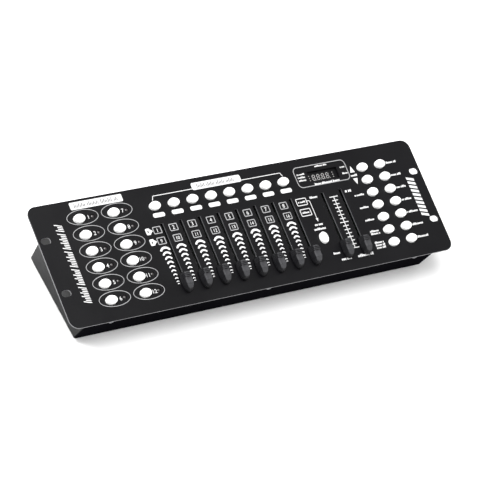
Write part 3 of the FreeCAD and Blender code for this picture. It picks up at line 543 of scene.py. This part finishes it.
def print_scene_group(ink, dark):
    ink.box(-46, 53, 15.5, 61, 2.0)
    dark.hatch(-15.0, 57, 50, 4.2, 0.8, 1.75, 0.15, group=7)
    ink.line([(-97, 50), (-95.2, 54.2), (-94.6, 54.7), (-45.8, 54.7)], 0.7)
    ink.line([(15.3, 54.4), (64.6, 54.4), (65.3, 53.9), (67, 50)], 0.7)
    for i, spot in enumerate(scene_spots):
        x = spot.x + 1.4 - 0.2 * i
        ink.box(x - 7.1, 31.3, x + 7.1, 36.1, 1.9)
        dark.hatch(x, 33.7, 7.0, 1.0, 0.4, 1.4)


def crescent(ink, x, y, wide, thick):
    """An arch of even width, a little thinner at its two square ends."""
    outer, inner = [], []
    radius = wide * 0.5
    for i in range(17):
        share = i / 16
        turn = math.radians(20 + 140 * share)
        band = thick * (0.82 + 0.18 * math.sin(math.pi * share))
        outer.append((x + radius * math.cos(turn), y + radius * (math.sin(turn) - 1) * 0.95))
        inner.append((x + (radius - band) * math.cos(turn),
                      y + (radius - band) * math.sin(turn) * 0.95 - radius * 0.95))
    ink.fill(outer + inner[::-1])


CHANNEL_ROWS = (18, 6)
CRESCENTS = 10


def print_channels(ink, grey, dark):
    for i, spot in enumerate(channel_spots):
        x = spot.x - (7.6 if i == 0 else 10.9)
        for row, y in enumerate(CHANNEL_ROWS):
            grey.frame(x - 5, y - 4, x + 5, y + 4, 1.1, 0.85)
            ink.number(x, y, i + 1 + 8 * row, 4.4 if row == 0 else 3.8)
        for step in range(CRESCENTS):
            share = step / (CRESCENTS - 1)
            wide = 13.4 - 10.6 * share ** 0.72
            y = -0.6 - 40.9 * (1 - (1 - share) ** 1.22)
            crescent(ink, x, y, wide, 2.5 - 1.6 * share ** 0.8)
    for y in CHANNEL_ROWS:
        ink.box(-119, y - 3.6, -113.6, y + 3.6, 1.4)
        ink.fill([(-113.8, y - 2.4), (-110.6, y), (-113.8, y + 2.4)])
        dark.box(-117.2, y - 1.4, -115.6, y + 1.1, 0.5)


def print_master_group(ink):
    for y, name in ((18.2, 2), (6, 5)):
        ink.frame(70, y - 4.2, 83.5, y + 4.2, 1.2, 0.8)
        ink.words(76.9, y, 9.6, 2.0, seed=name)
    ink.line([(83.5, 18.2), (86.4, 18.2), (87, 17.6), (87, -3)], 0.7)
    ink.fill([(87, -6.5), (88.6, -2.6), (85.4, -2.6)])
    ink.words(86.6, -9.6, 11, 2.6, seed=1)
    ink.words(86.6, -14.6, 17, 2.6, seed=4)
    x = (speed_spot.x + fade_spot.x) / 2 + 0.5
    top, ticks = 17.3, 15
    pitch = 60 / (ticks - 1)
    ink.line([(x, top), (x, top - 60)], 0.9)
    for i in range(ticks):
        half = 5.5 if i in (0, 7, 14) else 3.7
        ink.line([(x - half, top - i * pitch), (x + half, top - i * pitch)], 0.9)
    ink.words(94, 21, 11, 2.4, seed=6)
    ink.words(140, 21, 9.5, 3.4, seed=2)
    ink.words(94, -44.5, 10, 2.4, seed=7)
    ink.words(103, -52.5, 14, 3.0, seed=9)
    ink.words(128.5, -52.5, 22, 3.0, seed=5)


def print_display_group(ink, grey):
    grey.frame(81.5, 33, 150, 57, 5.5, 0.8)
    for y, seed in ((48.5, 1), (45, 3), (41.5, 5)):
        ink.words(89.5, y, 10.5, 1.9, seed=seed)
    for y, seed in ((48.5, 2), (41, 6)):
        ink.words(145, y, 7, 1.9, seed=seed)
    ink.words(118.5, 54.6, 16, 1.8, seed=4)
    ink.words(118.5, 34.9, 33, 2.2, seed=7)
    ink.fill([(152, 40), (158, 40), (155, 47.5)])
    ink.fill([(152, 33), (155, 26), (158, 33)])
    ink.words(155, 36.6, 8.5, 2.4, seed=3)


def print_mode_group(ink):
    for i, spot in enumerate(mode_spots):
        if i >= 7:
            ink.words(spot.x + 16.4, spot.y + 0.4, 14.5, 2.5, seed=i)
        elif i >= 2:
            lines = {2: 1, 3: 1, 4: 1, 5: 2, 6: 3}[i]
            for line in range(lines):
                ink.words(spot.x - 17.5, spot.y + 1.6 * (lines - 1) - 3.0 * line, 12.5, 2.3,
                          seed=i + line)


def print_side_bands(ink):
    """Slanted bars up both ears, where such desks carry decoration."""
    ink.hatch(-213, -0.5, 86, 8.6, 0.95, 1.95, 0.3, turned=True, group=10)
    ink.hatch(223.6, -0.8, 48, 9.4, 2.9, 4.7, 0.3, turned=True)


white = Print("white_legend", INK_WHITE)
grey = Print("outline_legend", INK_GREY)
dark = Print("dark_legend", INK_DARK, level=INK)
print_scan_group(white, grey, dark)
print_scene_group(white, dark)
print_channels(white, grey, dark)
print_master_group(white)
print_display_group(white, grey)
print_mode_group(white)
print_side_bands(white)
for layer in (white, grey, dark):
    layer.finish()


# ------------------------------------------------------------------ lamps and display

def make_lamps():
    """Clear-cut unlit lamps: a domed lens on a collared body, one for each scan button."""
    mesh = bmesh.new()
    for lamp_low, lamp_high in island_boxes("indicator_lamps", PANEL_INVERSE):
        middle = (lamp_low + lamp_high) / 2
        collar = (lamp_high.x - lamp_low.x) / 2
        lens = collar - 0.4
        lathe(mesh, [(lens, lamp_low.z), (lens, -3.0), (collar, -3.0), (collar, -2.0),
                     (lens, -2.0), (lens, -1.3), (lens * 0.95, -0.85), (lens * 0.8, -0.42),
                     (lens * 0.55, -0.14), (lens * 0.25, -0.02), (lens * 0.06, 0)],
              (middle.x, middle.y), 28)
    mesh.transform(PANEL)
    piece("scan_lamps", mesh, [LAMP_SMOKE], replaced=("indicator_lamps",))


DIGITS_LEFT = 106.2
DIGITS_PITCH = 6.0
DIGITS_MIDDLE = 43.2
SIGN_COLUMNS = (100.6, 131.5)
SIGN_ROWS = (40.6, 43.2, 45.8)


def make_display():
    """A digit block behind the window: four unlit digits, their points and two signs."""
    node_low, node_high = panel_box("display_module")
    mesh = bmesh.new()
    face = node_high.z
    slab(mesh, node_low.x, node_low.y, node_high.x, node_high.y, face - 8, face - 0.1,
         corner=0.6)
    slab(mesh, node_low.x + 1, node_low.y + 2, node_high.x - 1, node_low.y + 8, node_low.z,
         face - 7.9)
    middle_y = DIGITS_MIDDLE
    tall, wide, thick, lean = 6.0, 3.1, 0.7, 0.08

    def segment(x, y, length, upright):
        half = length / 2
        if upright:
            shape = [(-thick / 2, -half), (0, -half - thick / 2), (thick / 2, -half),
                     (thick / 2, half), (0, half + thick / 2), (-thick / 2, half)]
        else:
            shape = [(-half, -thick / 2), (half, -thick / 2), (half + thick / 2, 0),
                     (half, thick / 2), (-half, thick / 2), (-half - thick / 2, 0)]
        outline = [(x + u + lean * (y + v - middle_y), y + v) for u, v in shape]
        loft(mesh, [[Vector((u, v, z)) for u, v in outline] for z in (face - 0.2, face)],
             index=1)

    for digit in range(4):
        x = DIGITS_LEFT + DIGITS_PITCH * digit
        for level in (-1, 0, 1):
            segment(x, middle_y + level * tall / 2, wide - 1.3, False)
        for side in (-1, 1):
            for half in (-1, 1):
                segment(x + side * wide / 2, middle_y + half * tall / 4, tall / 2 - 1.3, True)
        lathe(mesh, [(0.42, face - 0.2), (0.42, face)], (x + 2.6, middle_y - tall / 2), 12, 1)
    for x in SIGN_COLUMNS:
        for y in SIGN_ROWS:
            lathe(mesh, [(0.55, face - 0.2), (0.55, face)], (x, y), 12, 1)
    mesh.transform(PANEL)
    piece("digit_display", mesh, [FACE_BLACK, SEGMENT_GREY], replaced=("display_module",))


make_lamps()
make_display()


# ------------------------------------------------------------------ screws and feet

SHOULDER_LEAN = math.radians(19)
SCREW_LENGTH = 5.1
SCREW_HEAD = 1.6


def make_screws():
    """Pan heads with a cross recess on plain shanks, square to the wall they hold."""
    mesh = bmesh.new()
    for screw_low, screw_high in island_boxes("case_screws"):
        middle = (screw_low + screw_high) / 2
        front = middle.y < 0
        turn = TILT if front else -SHOULDER_LEAN
        out = Vector((0, -math.cos(turn), -math.sin(turn))) if front else Vector(
            (0, math.cos(turn), math.sin(turn)))
        base = middle + out * (SCREW_LENGTH / 2 - SCREW_HEAD) * MM
        own = bmesh.new()
        cross = []
        for i in range(16):
            turn_i = math.pi * i / 8
            arm = 1.25 if i % 4 == 0 else (0.36 if i % 4 == 2 else 0.55)
            cross.append((arm * math.cos(turn_i), arm * math.sin(turn_i)))
        rings = [oval_ring(1.4, 1.4, SCREW_HEAD - SCREW_LENGTH, 16),
                 oval_ring(1.4, 1.4, 0, 16)]
        for radius, z in ((2.8, 0), (2.8, 0.7), (2.55, 1.15), (2.1, 1.42), (1.6, 1.55)):
            rings.append(oval_ring(radius, radius, z, 16))
        rings.append([Vector((x, y, 1.58)) for x, y in cross])
        rings.append([Vector((x * 0.5, y * 0.5, 0.7)) for x, y in cross])
        loft(own, rings)
        own.transform(Matrix.Translation(base) @ out.to_track_quat("Z", "Y").to_matrix().to_4x4()
                      @ Matrix.Scale(MM, 4))
        data = bpy.data.meshes.new("one_screw")
        own.to_mesh(data)
        own.free()
        mesh.from_mesh(data)
        bpy.data.meshes.remove(data)
    piece("wall_screws", mesh, [BLACK_ZINC], replaced=("case_screws",))


def make_feet():
    """Turned rubber feet with a rounded tread and a recess for their rivet."""
    mesh = bmesh.new()
    for foot_low, foot_high in island_boxes("rubber_feet"):
        middle = (foot_low + foot_high) / 2 / MM
        lathe(mesh, [(1.8, 1.4), (2.0, 0.5), (2.4, 0.0), (4.6, 0.0), (5.0, 0.15), (5.3, 0.5),
                     (5.9, 2.7), (6.0, 3.0)], (middle.x, middle.y), 40)
    mesh.transform(Matrix.Scale(MM, 4))
    piece("turned_feet", mesh, [RUBBER], replaced=("rubber_feet",))


make_screws()
make_feet()

# ------------------------------------------------------------------ CAD parts that stay

for node, finish in (("control_board", BOARD_GREEN), ("board_spacers", STEEL),
                     ("fader_tracks", STEEL), ("tact_switches", SOCKET_BLACK),
                     ("xlr_socket", SOCKET_BLACK), ("midi_socket", SOCKET_BLACK),
                     ("dc_inlet", SOCKET_BLACK), ("switch_frame", SOCKET_BLACK),
                     ("power_rocker", ROCKER_GLOSS)):
    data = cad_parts[node].data
    data.materials.clear()
    data.materials.append(finish)

# ------------------------------------------------------------------ floor, light and camera

def make_stage():
    mesh = bpy.data.meshes.new("floor")
    half = 30.0
    mesh.from_pydata([(-half, -half, 0), (half, -half, 0), (half, half, 0), (-half, half, 0)],
                     [], [(0, 1, 2, 3)])
    floor = bpy.data.objects.new("floor", mesh)
    bpy.context.scene.collection.objects.link(floor)
    pale = worn("pale_floor", (0.94, 0.94, 0.94), 0.9, 0.01, patch=0.5, grain=50)
    mesh.materials.append(pale)

    world = bpy.data.worlds.new("studio")
    bpy.context.scene.world = world
    world.use_nodes = True
    background = world.node_tree.nodes["Background"]
    background.inputs["Color"].default_value = (1, 1, 1, 1)
    background.inputs["Strength"].default_value = 0.6


def area_light(name, place, aim, size, power):
    light = bpy.data.lights.new(name, "AREA")
    light.shape = "RECTANGLE"
    light.size, light.size_y = size
    light.energy = power
    lamp = bpy.data.objects.new(name, light)
    lamp.location = place
    lamp.rotation_euler = (Vector(aim) - Vector(place)).to_track_quat("-Z", "Y").to_euler()
    bpy.context.scene.collection.objects.link(lamp)


def sun_light(name, toward, power, spread):
    light = bpy.data.lights.new(name, "SUN")
    light.energy = power
    light.angle = math.radians(spread)
    lamp = bpy.data.objects.new(name, light)
    lamp.rotation_euler = Vector(toward).to_track_quat("-Z", "Y").to_euler()
    bpy.context.scene.collection.objects.link(lamp)


CAMERA_ANGLES = (52.867, 44.864, 31.655)     # azimuth, elevation and roll, in degrees
CAMERA_DISTANCE = 2.8209
CAMERA_AIM = CENTRE + Vector((-8.78, -4.59, -9.82)) * MM
CAMERA_LENS = 206.7
CAMERA_SENSOR = 36


def make_camera():
    """A long lens from the front left, rolled so that the desk lies across the frame."""
    azimuth, elevation, roll = (math.radians(angle) for angle in CAMERA_ANGLES)
    forward = Vector((math.sin(azimuth) * math.cos(elevation),
                      math.cos(azimuth) * math.cos(elevation), -math.sin(elevation)))
    camera = bpy.data.cameras.new("camera")
    camera.lens = CAMERA_LENS
    camera.sensor_width = CAMERA_SENSOR
    holder = bpy.data.objects.new("camera", camera)
    level = forward.cross(Vector((0, 0, 1))).normalized()
    up = level.cross(forward)
    right = level * math.cos(roll) + up * math.sin(roll)
    top = up * math.cos(roll) - level * math.sin(roll)
    turned = Matrix((right, top, -forward)).transposed().to_4x4()
    place = CAMERA_AIM - forward * CAMERA_DISTANCE
    holder.matrix_world = Matrix.Translation(place) @ turned
    bpy.context.scene.collection.objects.link(holder)
    bpy.context.scene.camera = holder


make_stage()
area_light("overhead", (-0.6, 0.35, 1.7), (-0.1, 0, 0), (2.2, 2.2), 44)
area_light("front_left", (-2.0, -1.5, 1.9), (0, 0, 0.03), (1.6, 1.6), 24)
area_light("left_back", (-2.0, 1.2, 1.5), (0, 0, 0.03), (1.0, 1.0), 40)
area_light("right_front", (1.7, -2.0, 1.3), (0, 0, 0.03), (1.0, 0.8), 8)
sun_light("sky", (0.45, -0.25, -1.0), 1.5, 50)
make_camera()
bpy.context.scene.view_settings.view_transform = "Standard"
